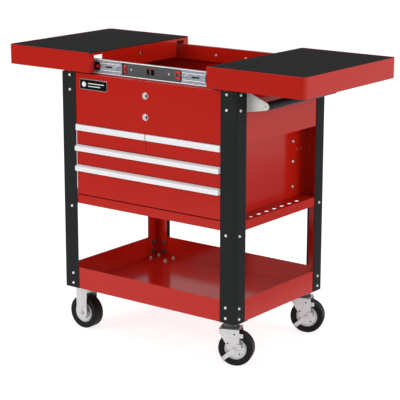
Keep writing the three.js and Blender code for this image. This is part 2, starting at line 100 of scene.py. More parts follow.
class Finish:
    """One material, written as expressions that end in a Principled surface."""

    def __init__(self, name):
        self.material = bpy.data.materials.new(name + "_finish")
        self.material.use_nodes = True
        self.tree = self.material.node_tree
        self.surface = self.tree.nodes["Principled BSDF"]

    def node(self, kind, settings=None, inputs=None, output=0):
        """Any node: its type, its settings, its sockets' values or links, and which output to use."""
        made = self.tree.nodes.new(kind)
        for name, value in (settings or {}).items():
            setattr(made, name, value)
        for key, value in (inputs or {}).items():
            if isinstance(value, Value):
                self.tree.links.new(value.socket, made.inputs[key])
            else:
                made.inputs[key].default_value = value
        return Value(self, made.outputs[output])

    def place(self, scale):
        """The place on the piece, in metres, scaled."""
        spot = self.node("ShaderNodeTexCoord", output="Object")
        return self.node("ShaderNodeMapping", {"vector_type": "POINT"}, {"Vector": spot, "Scale": scale})

    def noise(self, size, detail=2.0, stretch=(1, 1, 1)):
        """Noise whose blobs are about size metres across, from 0 to 1."""
        scale = tuple(s / size for s in stretch)
        return self.node("ShaderNodeTexNoise", inputs={
            "Vector": self.place(scale), "Scale": 1.0, "Detail": detail, "Roughness": 0.55})

    def ridges(self, axis, pitch):
        """Even ridges across one axis, a pitch apart."""
        return self.node("ShaderNodeTexWave", {"wave_type": "BANDS", "bands_direction": axis},
                         {"Vector": self.place((1 / pitch,) * 3), "Scale": ONE_RIDGE,
                          "Distortion": 0.0})

    def blend(self, factor, first, second):
        return self.node("ShaderNodeMix", {"data_type": "RGBA"},
                         {0: factor, 6: first, 7: second}, output=2)

    def set(self, socket, value):
        if isinstance(value, Value):
            self.tree.links.new(value.socket, self.surface.inputs[socket])
        else:
            self.surface.inputs[socket].default_value = value

    def bump(self, height, distance, strength=1.0):
        normal = self.node("ShaderNodeBump", inputs={
            "Height": height, "Distance": distance, "Strength": strength})
        self.set("Normal", normal)

    def look(self, colour, roughness, metallic=0.0, coat=0.0):
        self.set("Base Color", colour)
        self.set("Roughness", roughness)
        self.set("Metallic", metallic)
        self.set("Coat Weight", coat)
        return self.material


def rgb(red, green, blue):
    """A colour with full alpha."""
    return (red, green, blue, 1.0)


def red_paint():
    """Glossy powder coat: an even red with the faint ripple of orange peel."""
    finish = Finish("red_paint")
    cloud = finish.noise(0.16, 3)
    fleck = finish.noise(0.0012, 2)
    colour = finish.blend(cloud * 0.5 + fleck * 0.2,
                          rgb(0.395, 0.0085, 0.0030), rgb(0.455, 0.0120, 0.0050))
    finish.bump(finish.noise(0.0045, 2), 0.00005, 0.2)
    finish.set("Specular IOR Level", 0.27)
    return finish.look(colour, 0.13 + cloud * 0.06)


def guard_coat():
    """Black wrinkle coat: fine hills that scatter a dull sheen."""
    finish = Finish("guard_coat")
    grain = finish.noise(0.0018, 3)
    patch = finish.noise(0.05, 4)
    colour = finish.blend(grain * 0.7 + patch * 0.3,
                          rgb(0.0040, 0.0050, 0.0055), rgb(0.0200, 0.0225, 0.0235))
    finish.bump(grain + finish.noise(0.0045, 2) * 0.7, 0.0006, 0.9)
    finish.set("Specular IOR Level", 0.10)
    return finish.look(colour, 0.5 + patch * 0.2)


def mat_rubber():
    """Ribbed anti-slip rubber."""
    finish = Finish("mat_rubber")
    patch = finish.noise(0.12, 4)
    grain = finish.noise(0.0016, 2)
    colour = finish.blend(patch * 0.7 + grain * 0.3,
                          rgb(0.0085, 0.0087, 0.0085), rgb(0.0210, 0.0210, 0.0205))
    finish.bump(finish.ridges("X", 0.0032) + grain * 0.4, 0.0004, 0.6)
    finish.set("Specular IOR Level", 0.04)
    return finish.look(colour, 0.7 + patch * 0.2)


def zinc_plate():
    """Dull zinc, mottled and faintly drawn upwards."""
    finish = Finish("zinc_plate")
    streak = finish.noise(0.0013, 3, (1, 1, 0.08))
    patch = finish.noise(0.02, 3)
    colour = finish.blend(patch * 0.7 + streak * 0.3, rgb(0.46, 0.455, 0.46), rgb(0.72, 0.71, 0.72))
    finish.bump(streak, 0.00006, 0.5)
    return finish.look(colour, 0.32 + patch * 0.2, 0.88)


def bright_zinc():
    """Fresh, pale zinc on the fasteners and rolled edges."""
    finish = Finish("bright_zinc")
    grain = finish.noise(0.0016, 2)
    patch = finish.noise(0.012, 3)
    colour = finish.blend(patch * 0.7 + grain * 0.3, rgb(0.74, 0.74, 0.74), rgb(0.92, 0.92, 0.91))
    finish.bump(grain, 0.00005, 0.4)
    return finish.look(colour, 0.3 + patch * 0.15, 0.45)


def slide_zinc():
    """The bluish zinc of the telescopic members, brushed along their length."""
    finish = Finish("slide_zinc")
    streak = finish.noise(0.0012, 3, (0.12, 1, 1))
    patch = finish.noise(0.014, 3)
    colour = finish.blend(patch * 0.8 + streak * 0.4, rgb(0.15, 0.165, 0.21), rgb(0.56, 0.58, 0.66))
    finish.bump(streak + patch, 0.00015, 0.6)
    return finish.look(colour, 0.26 + patch * 0.2, 0.85)


def slide_grey():
    """Dark phosphated steel, brushed along the slides."""
    finish = Finish("slide_grey")
    grain = finish.noise(0.0009, 2, (0.1, 1, 1))
    colour = finish.blend(grain, rgb(0.055, 0.058, 0.063), rgb(0.085, 0.089, 0.096))
    finish.bump(grain, 0.00005, 0.4)
    return finish.look(colour, 0.42 + grain * 0.1, 0.35)


def satin_aluminium():
    """Pale anodised aluminium with fine draw lines."""
    finish = Finish("satin_aluminium")
    draw = finish.noise(0.0007, 2, (0.01, 1, 1))
    patch = finish.noise(0.05, 2)
    colour = finish.blend(draw * 0.7 + patch * 0.3, rgb(0.72, 0.73, 0.74), rgb(0.88, 0.89, 0.90))
    finish.bump(draw, 0.00005, 0.5)
    return finish.look(colour, 0.38 + draw * 0.12, 0.35)


def chrome():
    """Bright chrome under a thin haze."""
    finish = Finish("chrome")
    haze = finish.noise(0.004, 2)
    colour = finish.blend(haze, rgb(0.62, 0.63, 0.65), rgb(0.80, 0.81, 0.82))
    return finish.look(colour, 0.08 + haze * 0.08, 1.0)


def bracket_grey():
    """Warm grey paint with a light tooth."""
    finish = Finish("bracket_grey")
    patch = finish.noise(0.012, 3)
    grain = finish.noise(0.0012, 2)
    colour = finish.blend(patch * 0.6 + grain * 0.3,
                          rgb(0.56, 0.565, 0.53), rgb(0.68, 0.685, 0.655))
    finish.bump(grain, 0.0001, 0.4)
    return finish.look(colour, 0.45 + patch * 0.15, 0.1)


def grip_vinyl():
    """Soft black vinyl with a satin sheen."""
    finish = Finish("grip_vinyl")
    grain = finish.noise(0.0014, 2)
    patch = finish.noise(0.06, 2)
    colour = finish.blend(patch * 0.7 + grain * 0.2,
                          rgb(0.0045, 0.0065, 0.0085), rgb(0.011, 0.015, 0.019))
    finish.bump(grain, 0.00018, 0.5)
    finish.set("Specular IOR Level", 0.14)
    return finish.look(colour, 0.34 + patch * 0.12)


def tyre_rubber():
    """Dark rubber, dusty in patches."""
    finish = Finish("tyre_rubber")
    grain = finish.noise(0.0017, 3)
    dust = finish.noise(0.03, 4)
    colour = finish.blend(dust * 0.7 + grain * 0.2,
                          rgb(0.0025, 0.0025, 0.0025), rgb(0.0085, 0.0082, 0.008))
    finish.bump(grain, 0.0002, 0.6)
    finish.set("Specular IOR Level", 0.16)
    return finish.look(colour, 0.4 + dust * 0.25)


def red_plastic():
    """Moulded red plastic."""
    finish = Finish("red_plastic")
    grain = finish.noise(0.0015, 2)
    colour = finish.blend(grain, rgb(0.50, 0.02, 0.012), rgb(0.62, 0.03, 0.02))
    finish.bump(grain, 0.00008, 0.5)
    return finish.look(colour, 0.4 + grain * 0.1)


def badge_black():
    """Polished black enamel."""
    finish = Finish("badge_black")
    haze = finish.noise(0.006, 2)
    colour = finish.blend(haze, rgb(0.0020, 0.0020, 0.0020), rgb(0.0045, 0.0045, 0.0048))
    finish.set("Specular IOR Level", 0.12)
    return finish.look(colour, 0.12 + haze * 0.08)


def shade_and_washer_dark():
    """Flat near-black: painted shade in slots, holes and recesses, and the dark washers behind the runner bolts.
    """
    finish = Finish("hole_shade_and_washer_dark")
    grain = finish.noise(0.002, 2)
    colour = finish.blend(grain, rgb(0.006, 0.006, 0.007), rgb(0.02, 0.02, 0.022))
    finish.bump(grain, 0.0001, 0.5)
    return finish.look(colour, 0.5 + grain * 0.2, 0.3)


FINISHES = {
    "red_paint": red_paint(),
    "guard_coat": guard_coat(),
    "mat_rubber": mat_rubber(),
    "zinc_plate": zinc_plate(),
    "bright_zinc": bright_zinc(),
    "slide_zinc": slide_zinc(),
    "slide_grey": slide_grey(),
    "satin_aluminium": satin_aluminium(),
    "chrome": chrome(),
    "bracket_grey": bracket_grey(),
    "grip_vinyl": grip_vinyl(),
    "tyre_rubber": tyre_rubber(),
    "red_plastic": red_plastic(),
    "badge_black": badge_black(),
}
SHADE_AND_WASHER_DARK = shade_and_washer_dark()


# ---------------------------------------------------------------- bench tools

def select_only(*pieces):
    """Selects these pieces alone, the first one active."""
    bpy.ops.object.select_all(action="DESELECT")
    for piece in pieces:
        piece.select_set(True)
    bpy.context.view_layer.objects.active = pieces[0]


def edit_all(piece):
    """Opens a piece in edit mode with all its vertices selected."""
    select_only(piece)
    bpy.ops.object.mode_set(mode="EDIT")
    bpy.ops.mesh.select_mode(type="VERT")
    bpy.ops.mesh.select_all(action="SELECT")


def leave_edit():
    bpy.ops.object.mode_set(mode="OBJECT")


def apply_modifier(piece, kind, **settings):
    """Adds a modifier and applies it."""
    select_only(piece)
    modifier = piece.modifiers.new(kind.lower(), kind)
    for name, value in settings.items():
        setattr(modifier, name, value)
    bpy.ops.object.modifier_apply(modifier=modifier.name)


def smooth(piece, degrees=35):
    """Shades a piece smooth, except across edges sharper than this."""
    select_only(piece)
    bpy.ops.object.shade_smooth_by_angle(angle=math.radians(degrees))


def settle(name):
    """Names the piece just added and puts its place into its mesh."""
    piece = bpy.context.object
    piece.name = name
    piece.data.name = name
    bpy.ops.object.transform_apply(location=True, rotation=True, scale=True)
    return piece


def fit_out(piece, body, slot, nodes=(), material=None):
    """Paints a finished piece and hangs it on its body."""
    piece.data.materials.clear()
    piece.data.materials.append(material or FINISHES[slot])
    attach(piece, body)
    if nodes:
        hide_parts(*nodes)
    return piece


def rounded(piece, width, segments=2, angle=30):
    """Rounds a piece's sharp edges."""
    apply_modifier(piece, "BEVEL", width=width, segments=segments, limit_method="ANGLE",
                   angle_limit=math.radians(angle), use_clamp_overlap=True)
    smooth(piece)
    apply_modifier(piece, "WEIGHTED_NORMAL", weight=50, keep_sharp=True)
    return piece


def block(name, low, high, width=0.0, segments=2):
    """A box between two corners, its edges rounded by width."""
    low, high = Vector(low), Vector(high)
    bpy.ops.object.select_all(action="DESELECT")
    bpy.ops.mesh.primitive_cube_add(size=1, location=(low + high) / 2, scale=high - low)
    piece = settle(name)
    if width:
        rounded(piece, width, segments)
    return piece


def disc(name, centre, axis, radius, depth, sides=32, bevel=0.0):
    """A short rod whose base is at centre and whose top is depth along axis."""
    bpy.ops.object.select_all(action="DESELECT")
    axis = Vector(axis).normalized()
    turn = axis.to_track_quat("Z", "Y").to_euler()
    bpy.ops.mesh.primitive_cylinder_add(vertices=sides, radius=radius, depth=depth,
                                        location=Vector(centre) + axis * depth / 2, rotation=turn)
    piece = settle(name)
    if bevel:
        rounded(piece, bevel)
    return piece


def joined(name, pieces):
    """Several pieces as one."""
    select_only(*pieces)
    bpy.ops.object.join()
    piece = bpy.context.object
    piece.name = name
    piece.data.name = name
    return piece


def turned(name, outline, centre, axis, steps=48):
    """Spins an outline of (radius, along) points about an axis through centre."""
    axis = Vector(axis).normalized()
    out = axis.orthogonal().normalized()
    centre = Vector(centre)
    spots = [centre + out * radius + axis * along for radius, along in outline]
    bpy.ops.object.select_all(action="DESELECT")
    bpy.ops.mesh.primitive_plane_add(size=0.001, location=spots[0])
    piece = settle(name)
    edit_all(piece)
    bpy.ops.mesh.merge(type="CENTER")
    for before, after in zip(spots, spots[1:]):
        bpy.ops.mesh.extrude_region_move(TRANSFORM_OT_translate={"value": after - before})
    bpy.ops.mesh.select_all(action="SELECT")
    bpy.ops.mesh.spin(steps=steps, angle=2 * math.pi, center=centre, axis=axis)
    bpy.ops.mesh.select_all(action="SELECT")
    bpy.ops.mesh.remove_doubles(threshold=0.00002)
    bpy.ops.mesh.normals_make_consistent(inside=False)
    leave_edit()
    smooth(piece)
    return piece


def copy_at(template, name, spot, axis):
    """A copy of a template made along +Z at the origin, moved to a spot and turned to an axis."""
    piece = template.copy()
    piece.data = template.data.copy()
    piece.name = name
    piece.data.name = name
    bpy.context.scene.collection.objects.link(piece)
    turn = Vector(axis).normalized().to_track_quat("Z", "Y").to_matrix().to_4x4()
    piece.data.transform(Matrix.Translation(Vector(spot)) @ turn)
    return piece


def refined(node, width=0.0005, segments=2, material=None):
    """The CAD node's own shape with its folds and edges rounded, as one welded mesh."""
    source = frame["nodes"][node]
    piece = source.copy()
    piece.data = source.data.copy()
    piece.name = node + "_shell"
    piece.data.name = piece.name
    piece.parent = None
    for key in list(piece.keys()):
        del piece[key]
    bpy.context.scene.collection.objects.link(piece)
    edit_all(piece)
    bpy.ops.mesh.remove_doubles(threshold=0.000005)
    bpy.ops.mesh.dissolve_limited(angle_limit=math.radians(1))
    leave_edit()
    rounded(piece, width, segments)
    return fit_out(piece, BODY_OF_NODE[node], SLOT_OF_NODE[node], [node], material)


# ---------------------------------------------------------------- places from the frame

tray_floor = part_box("lower_tray")[0].z
shelf_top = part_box("middle_shelf")[1].z
case_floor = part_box("drawer_case")[0].z
box_low, box_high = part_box("top_box")
middle = (box_low + box_high) / 2


def outer_x(low, high, sx):
    """Where a box's outward face is, left or right."""
    return low.x if sx < 0 else high.x


def outer_y(low, high, sy):
    """Where a box's outward face is, front or rear."""
    return low.y if sy < 0 else high.y


def inner_y(low, high, sy):
    """Where a box's inward face is, front or rear."""
    return high.y if sy < 0 else low.y


def channels():
    """The two fixed slide channels: name, side, box and the height of the middle line."""
    for name, sy in FRONT_REAR:
        low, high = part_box(name + "_slide_channel")
        yield name, sy, low, high, (low.z + high.z) / 2


# ---------------------------------------------------------------- fasteners

def make_bolt():
    """A small flanged hex bolt head, seat at z = 0."""
    flange = disc("bolt_flange", (0, 0, 0), (0, 0, 1), 0.0050, 0.0012, 24, 0.0004)
    head = disc("bolt_head", (0, 0, 0.0010), (0, 0, 1), 0.0041, 0.0032, 6, 0.0006)
    return joined("bolt_template", [flange, head])


def make_screw():
    """A pan head screw with a recess, seat at z = 0."""
    rim, recess = 0.0016, 0.0009
    head = disc("screw_head", (0, 0, 0), (0, 0, 1), 0.0042, 0.0022, 24, 0.0009)
    edit_all(head)
    bpy.ops.mesh.select_mode(type="FACE")
    bpy.ops.mesh.select_all(action="DESELECT")
    leave_edit()
    for face in head.data.polygons:
        face.select = face.normal.z > FACING
    bpy.ops.object.mode_set(mode="EDIT")
    bpy.ops.mesh.inset(thickness=rim, depth=0)
    bpy.ops.mesh.extrude_region_move(TRANSFORM_OT_translate={"value": (0, 0, -recess)})
    leave_edit()
    return head


def make_nut():
    """A hex nut on a washer with its bolt end showing, seat at z = 0."""
    washer = disc("nut_washer", (0, 0, 0), (0, 0, 1), 0.0085, 0.0014, 28, 0.0004)
    hexagon = disc("nut_hex", (0, 0, 0.0013), (0, 0, 1), 0.0064, 0.005, 6, 0.0006)
    end = disc("nut_bolt_end", (0, 0, 0.0055), (0, 0, 1), 0.0034, 0.0032, 16, 0.0006)
    return joined("nut_template", [washer, hexagon, end])


def make_rivet():
    """A domed pop rivet head, seat at z = 0."""
    return disc("rivet_head", (0, 0, 0), (0, 0, 1), 0.0033, 0.0014, 16, 0.0009)


BOLT = make_bolt()
SCREW = make_screw()
NUT = make_nut()
RIVET = make_rivet()


def fasten(name, template, spots, body, slot="zinc_plate", material=None):
    """One piece that holds a set of like fasteners on one body."""
    copies = [copy_at(template, f"{name}_{i}", spot, axis) for i, (spot, axis) in enumerate(spots)]
    piece = joined(name, copies) if len(copies) > 1 else copies[0]
    piece.name = name
    piece.data.name = name
    return fit_out(piece, body, slot, material=material)


def guard_bolts():
    """Bolts through the guards' flanges, and their nuts inside the legs at the tray."""
    from_side, from_front, from_rear = 0.0425, 0.0205, 0.031
    below_top, above_tray = (0.0105, 0.0645), (0.0575, 0.0186)
    below_shelf = {-1: 0.047, 1: 0.024}
    leg_sheet = 0.002
    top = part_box("corner_guard_front_left")[1].z
    at_tray = [tray_floor + rise for rise in above_tray]
    for place, sx, sy in CORNERS:
        low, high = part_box("corner_guard_" + place)
        face_x, face_y = outer_x(low, high, sx), outer_y(low, high, sy)
        across = face_x - sx * from_side
        along = face_y - sy * (from_front if sy < 0 else from_rear)
        heights = [top - drop for drop in below_top] + [shelf_top - below_shelf[sy]] + at_tray
        spots = [((across, face_y, z), (0, sy, 0)) for z in heights]
        spots += [((face_x, along, z), (sx, 0, 0)) for z in heights]
        fasten("guard_bolts_" + place, BOLT, spots, "cart_frame", material=FINISHES["bright_zinc"])
        leg_low, leg_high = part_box("leg_" + place)
        wall_x = outer_x(leg_low, leg_high, sx) - sx * leg_sheet
        wall_y = outer_y(leg_low, leg_high, sy) - sy * leg_sheet
        spots = [((across, wall_y, z), (0, -sy, 0)) for z in at_tray]
        spots += [((wall_x, along, z), (-sx, 0, 0)) for z in at_tray]
        fasten("guard_nuts_" + place, NUT, spots, "cart_frame", "slide_grey")


def case_bolts():
    """The bolts and locating rivets that hold the drawer runners to the case walls."""
    wall_sheet, seat_radius, seat_depth = 0.0018, 0.0072, 0.0006
    below_runner, rivet_drop = 0.001, 0.036
    bolt_reaches, rivet_reaches = (0.170, -0.19), (0.201, 0.224)
    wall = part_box("upper_runner_right")[1].x + wall_sheet
    for side, sx in LEFT_RIGHT:
        x = middle.x + sx * (wall - middle.x)
        bolts, seats = [], []
        for level in LEVELS:
            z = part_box(f"{level}_runner_{side}")[0].z - below_runner
            for y in (middle.y + reach for reach in bolt_reaches):
                bolts.append(((x + sx * seat_depth, y, z), (sx, 0, 0)))
                seats.append(disc("seat", (x, y, z), (sx, 0, 0), seat_radius, seat_depth, 24, 0.0002))
        fasten("runner_bolts_" + side, BOLT, bolts, "cart_frame", material=FINISHES["bright_zinc"])
        fit_out(joined("runner_seats_" + side, seats), "cart_frame", "slide_grey", material=SHADE_AND_WASHER_DARK)
        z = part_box("upper_runner_" + side)[0].z - rivet_drop
        rivets = [((x, middle.y + reach, z), (sx, 0, 0)) for reach in rivet_reaches]
        fasten("runner_rivets_" + side, RIVET, rivets, "cart_frame")


def back_rivets():
    """Rivets along the edges of the two back panels."""
    from_end, from_edge, gaps = 0.085, 0.016, 7
    span = box_high.x - box_low.x - 2 * from_end
    spots = []
    for z in (box_low.z + from_edge, box_high.z - from_edge, case_floor + from_edge):
        for i in range(gaps + 1):
            x = box_low.x + from_end + span * i / gaps
            spots.append(((x, box_high.y, z), (0, 1, 0)))
    fasten("back_panel_rivets", RIVET, spots, "cart_frame")


# ---------------------------------------------------------------- sheet metal

SHEET_NODES = (
    ["lower_tray", "middle_shelf", "top_box", "drawer_case", "front_lid_rail", "rear_lid_rail"]
    + ["leg_" + place for place, _, _ in CORNERS]
    + ["corner_guard_" + place for place, _, _ in CORNERS]
    + [f"{level}_runner_{side}" for level in LEVELS for side, _ in LEFT_RIGHT]
    + ["upper_drawer_divider", "handle_bracket_front", "handle_bracket_rear"]
)


def sheet_metal():
    """The CAD sheets with rounded folds, and the parts that close the box."""
    fold, pull_edge, lid_edge, mat_edge, seam_gap = 0.0006, 0.0007, 0.0007, 0.0008, 0.0014
    for node in SHEET_NODES:
        refined(node, fold)
    for name in DRAWERS:
        refined(name + "_drawer", fold)
        trim = refined(name + "_drawer_trim", pull_edge, 3)
        if name.startswith("upper"):
            open_seam(trim, middle.x, seam_gap)
    for side, _ in LEFT_RIGHT:
        refined(side + "_lid", lid_edge, 3)
        refined(side + "_lid_mat", mat_edge, 3)


def open_seam(piece, seam_x, back_off):
    """Draws the end that faces the seam between the two upper drawers back from it."""
    near_seam = 0.004
    away = 1 if sum(vertex.co.x - seam_x for vertex in piece.data.vertices) > 0 else -1
    edit_all(piece)
    bpy.ops.mesh.select_all(action="DESELECT")
    leave_edit()
    for vertex in piece.data.vertices:
        vertex.select = abs(vertex.co.x - seam_x) < near_seam
    bpy.ops.object.mode_set(mode="EDIT")
    bpy.ops.transform.translate(value=(away * back_off, 0, 0))
    leave_edit()


def drawer_liners():
    """A rubber liner on each drawer's floor."""
    from_wall, from_front, above_base, thick = 0.0185, 0.004, 0.0080, 0.0025
    for name in DRAWERS:
        low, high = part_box(name + "_drawer")
        floor = low.z + above_base
        liner = block(name + "_drawer_liner", (low.x + from_wall, low.y + from_front, floor),
                      (high.x - from_wall, high.y - from_front, floor + thick), 0.0006)
        fit_out(liner, name + "_drawer", "mat_rubber")


# ---------------------------------------------------------------- lids

def lid_stops():
    """The stud on the left lid's inner end, and a dark disc beside it that is its painted shadow."""
    low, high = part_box("left_lid")
    y = (low.y + high.y) / 2
    z = (low.z + high.z) / 2 + 0.004
    stud = disc("lid_stop_stud", (high.x, y - 0.004, z), (1, 0, 0), 0.0035, 0.0042, 20, 0.0008)
    fit_out(stud, "left_lid", "zinc_plate")
    # Painted shadow: a flat dark disc beside the stud where its shadow falls.
    seat = disc("lid_stop_shadow", (high.x, y + 0.009, z), (1, 0, 0), 0.0055, 0.0012, 24, 0.0004)
    fit_out(seat, "left_lid", "mat_rubber")


def slide_screws():
    """Screws through each fixed channel's web, and bolts inside the rail behind it."""
    web_sheet, below_middle = 0.0015, 0.004
    screw_reaches, bolt_reaches = (-0.30, -0.088, 0.084, 0.30), (-0.30, -0.075, 0.065, 0.30)
    for name, sy, low, high, z in channels():
        web = inner_y(low, high, sy) + sy * web_sheet
        spots = [((middle.x + reach, web, z), (0, sy, 0)) for reach in screw_reaches]
        fasten(name + "_slide_screws", SCREW, spots, "cart_frame")
        face = inner_y(*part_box(name + "_lid_rail"), sy)
        spots = [((middle.x + reach, face, z - below_middle), (0, -sy, 0)) for reach in bolt_reaches]
        fasten(name + "_rail_screws", BOLT, spots, "cart_frame")


def slide_retainers():
    """Red plastic ball retainers that wait in the fixed channel by each middle member's end."""
    web_sheet, bar_depth, post_depth = 0.0018, 0.0026, 0.0031
    bar_rise, bar_half, post_half_wide, post_half_tall = 0.011, 0.004, 0.0018, 0.015
    for name, sy, low, high, z in channels():
        web = inner_y(low, high, sy) + sy * web_sheet
        for side, x, width in (("left", -0.116, 0.012), ("right", 0.124, 0.022)):
            parts = []
            for up in (-1, 1):
                level = z + up * bar_rise
                parts.append(block("bar", (middle.x + x - width / 2, web, level - bar_half),
                                   (middle.x + x + width / 2, web + sy * bar_depth, level + bar_half),
                                   0.0008))
            for end in (-1, 1):
                edge = middle.x + x + end * (width / 2 - post_half_wide)
                parts.append(block("post", (edge - post_half_wide, web, z - post_half_tall),
                                   (edge + post_half_wide, web + sy * post_depth, z + post_half_tall),
                                   0.0006))
            retainer = joined(f"{name}_slide_retainer_{side}", parts)
            fix_normals(retainer)
            fit_out(retainer, "cart_frame", "red_plastic")


def slide_lips():
    """The bright rolled edges of each fixed channel, and the black latch body in its slots."""
    lip_tall, lip_deep, lip_proud = 0.0036, 0.0022, 0.0002
    latch_front, latch_back, latch_below, latch_above = 0.0014, 0.0003, 0.0115, 0.0085
    for name, sy, low, high, z in channels():
        outer = outer_y(low, high, sy)
        ys = sorted((outer, outer - sy * lip_deep))
        lips = []
        for start, stop in ((low.z, low.z + lip_tall), (high.z - lip_tall, high.z)):
            lips.append(block("lip", (low.x, ys[0] - lip_proud, start),
                              (high.x, ys[1] + lip_proud, stop), 0.0007))
        fit_out(joined(name + "_slide_lips", lips), "cart_frame", "zinc_plate",
                material=FINISHES["bright_zinc"])
        inner = inner_y(low, high, sy)
        ys = sorted((inner + sy * latch_front, inner + sy * latch_back))
        latches = []
        for reach, width in ((-0.012, 0.011), (0.009, 0.016)):
            x = middle.x + reach
            latches.append(block("latch", (x - width / 2, ys[0], z - latch_below),
                                 (x + width / 2, ys[1], z + latch_above), 0.0004))
        fit_out(joined(name + "_slide_latch", latches), "cart_frame", "badge_black")


def fix_normals(piece):
    """Turns every face outwards."""
    edit_all(piece)
    bpy.ops.mesh.normals_make_consistent(inside=False)
    leave_edit()


def slide_members():
    """The middle members, each with two rows of balls, pressed oval, ribs, latch bar and stop."""
    web_sheet, latch_reach, stop_reach, nub_proud = 0.0015, 0.062, 0.117, 0.0016
    for side, sx in LEFT_RIGHT:
        body = side + "_lid_members"
        for name, sy in FRONT_REAR:
            node = f"{side}_lid_{name}_slide_member"
            refined(node, 0.0004, material=FINISHES["slide_zinc"])
            low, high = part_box(node)
            inner = outer_x(low, high, -sx)
            web = inner_y(low, high, sy) + sy * web_sheet
            z = (low.z + high.z) / 2
            slide_balls(node, body, (inner, web, z), sx, sy)
            slide_pressing(node, body, (inner, web, z), sx, sy)
            slide_ribs(node, body, (low.x, high.x), web, z, sy)
            latch_at = (inner + sx * latch_reach, web, z)
            fit_out(on_web(f"{node}_latch", latch_at, sy, 0.015, 0.0028, 0.0009), body, "badge_black")
            stop_at = (inner + sx * stop_reach, web, z)
            fit_out(on_web(f"{node}_stop", stop_at, sy, 0.012, 0.0146, 0.0006), body, "badge_black")
            nub = disc(f"{node}_stop_nub", (stop_at[0] + 0.002, web + sy * nub_proud, z), (0, sy, 0),
                       0.006, 0.0012, 24, 0.0004)
            fit_out(nub, body, "red_plastic")


def slide_balls(node, body, inner, sx, sy):
    """Two rows of balls from the member's inner end on."""
    first, pitch, count, web_gap, rise = 0.012, 0.011, 16, 0.0034, 0.01865
    x, web, z = inner
    template = make_ball()
    balls = []
    for i in range(count):
        for up in (-1, 1):
            spot = (x + sx * (first + i * pitch), web + sy * web_gap, z + up * rise)
            balls.append(copy_at(template, f"ball_{i}_{up}", spot, (0, 0, 1)))
    bpy.data.objects.remove(template)
    fit_out(joined(f"{node}_balls", balls), body, "chrome")


def slide_pressing(node, body, inner, sx, sy):
    """The oval pressed in the web near the member's inner end."""
    reach, radius, proud, stretch = 0.028, 0.0085, 0.0016, 1.9
    x = inner[0] + sx * reach
    oval = disc(f"{node}_pressing", (x, inner[1], inner[2]), (0, sy, 0), radius, proud, 32, 0.0007)
    stretch_x(oval, x, stretch)
    fit_out(oval, body, "zinc_plate", material=FINISHES["slide_zinc"])


def slide_ribs(node, body, ends, web, z, sy):
    """The two bright ribs along the member."""
    from_end, proud, rise, half_tall = 0.004, 0.0012, 0.0125, 0.0014
    front, back = sorted((web, web + sy * proud))
    ribs = []
    for up in (-1, 1):
        level = z + up * rise
        ribs.append(block("rib", (ends[0] + from_end, front, level - half_tall),
                          (ends[1] - from_end, back, level + half_tall), 0.0005))
    fit_out(joined(f"{node}_ribs", ribs), body, "zinc_plate", material=FINISHES["bright_zinc"])


def on_web(name, spot, sy, half_wide, half_tall, width):
    """A thin rounded block that stands on a member's web."""
    proud = 0.002
    x, web, z = spot
    front, back = sorted((web, web + sy * proud))
    return block(name, (x - half_wide, front, z - half_tall),
                 (x + half_wide, back, z + half_tall), width)


def make_ball():
    """A slide's ball, at the origin."""
    bpy.ops.object.select_all(action="DESELECT")
    bpy.ops.mesh.primitive_ico_sphere_add(subdivisions=2, radius=0.0019)
    ball = settle("ball_template")
    smooth(ball, 60)
    return ball


def stretch_x(piece, centre_x, factor):
    """Widens a piece about an upright line."""
    edit_all(piece)
    bpy.ops.transform.resize(value=(factor, 1, 1), center_override=(centre_x, 0, 0))
    leave_edit()


# ---------------------------------------------------------------- front fittings

def badge():
    """A black enamel plate in a silver rim, with a plain hexagon and two bars."""
    left, top, face_y = middle.x - 0.310, box_high.z - 0.019, box_low.y
    wide, tall, corner = 0.132, 0.039, 0.007
    border, rim_deep, plate_rise, plate_deep = 0.0024, 0.0022, 0.0016, 0.0012
    rim = badge_plate("badge_rim", left, top, wide, tall, corner, face_y, rim_deep)
    fit_out(rim, "cart_frame", "chrome")
    plate = badge_plate("badge_plate", left + border, top - border, wide - 2 * border,
                        tall - 2 * border, corner - 0.002, face_y - plate_rise, plate_deep)
    fit_out(plate, "cart_frame", "badge_black")
    front = face_y - 0.0028
    nut = disc("badge_hexagon", (left + 0.022, front, top - tall / 2), (0, -1, 0), 0.0105, 0.0006, 6)
    edit_all(nut)
    leave_edit()
    for face in nut.data.polygons:
        face.select = face.normal.y < -FACING
    bpy.ops.object.mode_set(mode="EDIT")
    bpy.ops.mesh.select_mode(type="FACE")
    bpy.ops.mesh.inset(thickness=0.0032, depth=0)
    bpy.ops.mesh.extrude_region_move(TRANSFORM_OT_translate={"value": (0, 0.0005, 0)})
    leave_edit()
    bars = [nut]
    for drop, start, end in ((0.0135, 0.042, 0.118), (0.0235, 0.042, 0.100)):
        bars.append(block("bar", (left + start, front - 0.0006, top - drop - 0.0030),
                          (left + end, front, top - drop), 0.0002))
    fit_out(joined("badge_device", bars), "cart_frame", "satin_aluminium")


def badge_plate(name, left, top, wide, tall, corner, back_y, depth):
    """A plate with round corners, its back at back_y."""
    plate = block(name, (left, back_y - depth, top - tall), (left + wide, back_y, top))
    edit_all(plate)
    bpy.ops.mesh.select_mode(type="EDGE")
    bpy.ops.mesh.select_all(action="DESELECT")
    leave_edit()
    for edge in plate.data.edges:
        start, end = (plate.data.vertices[i].co for i in edge.vertices)
        edge.select = abs(start.x - end.x) < SAME and abs(start.z - end.z) < SAME
    bpy.ops.object.mode_set(mode="EDIT")
    bpy.ops.mesh.bevel(offset=corner, segments=6, affect="EDGES")
    leave_edit()
    return rounded(plate, 0.0004, 2)


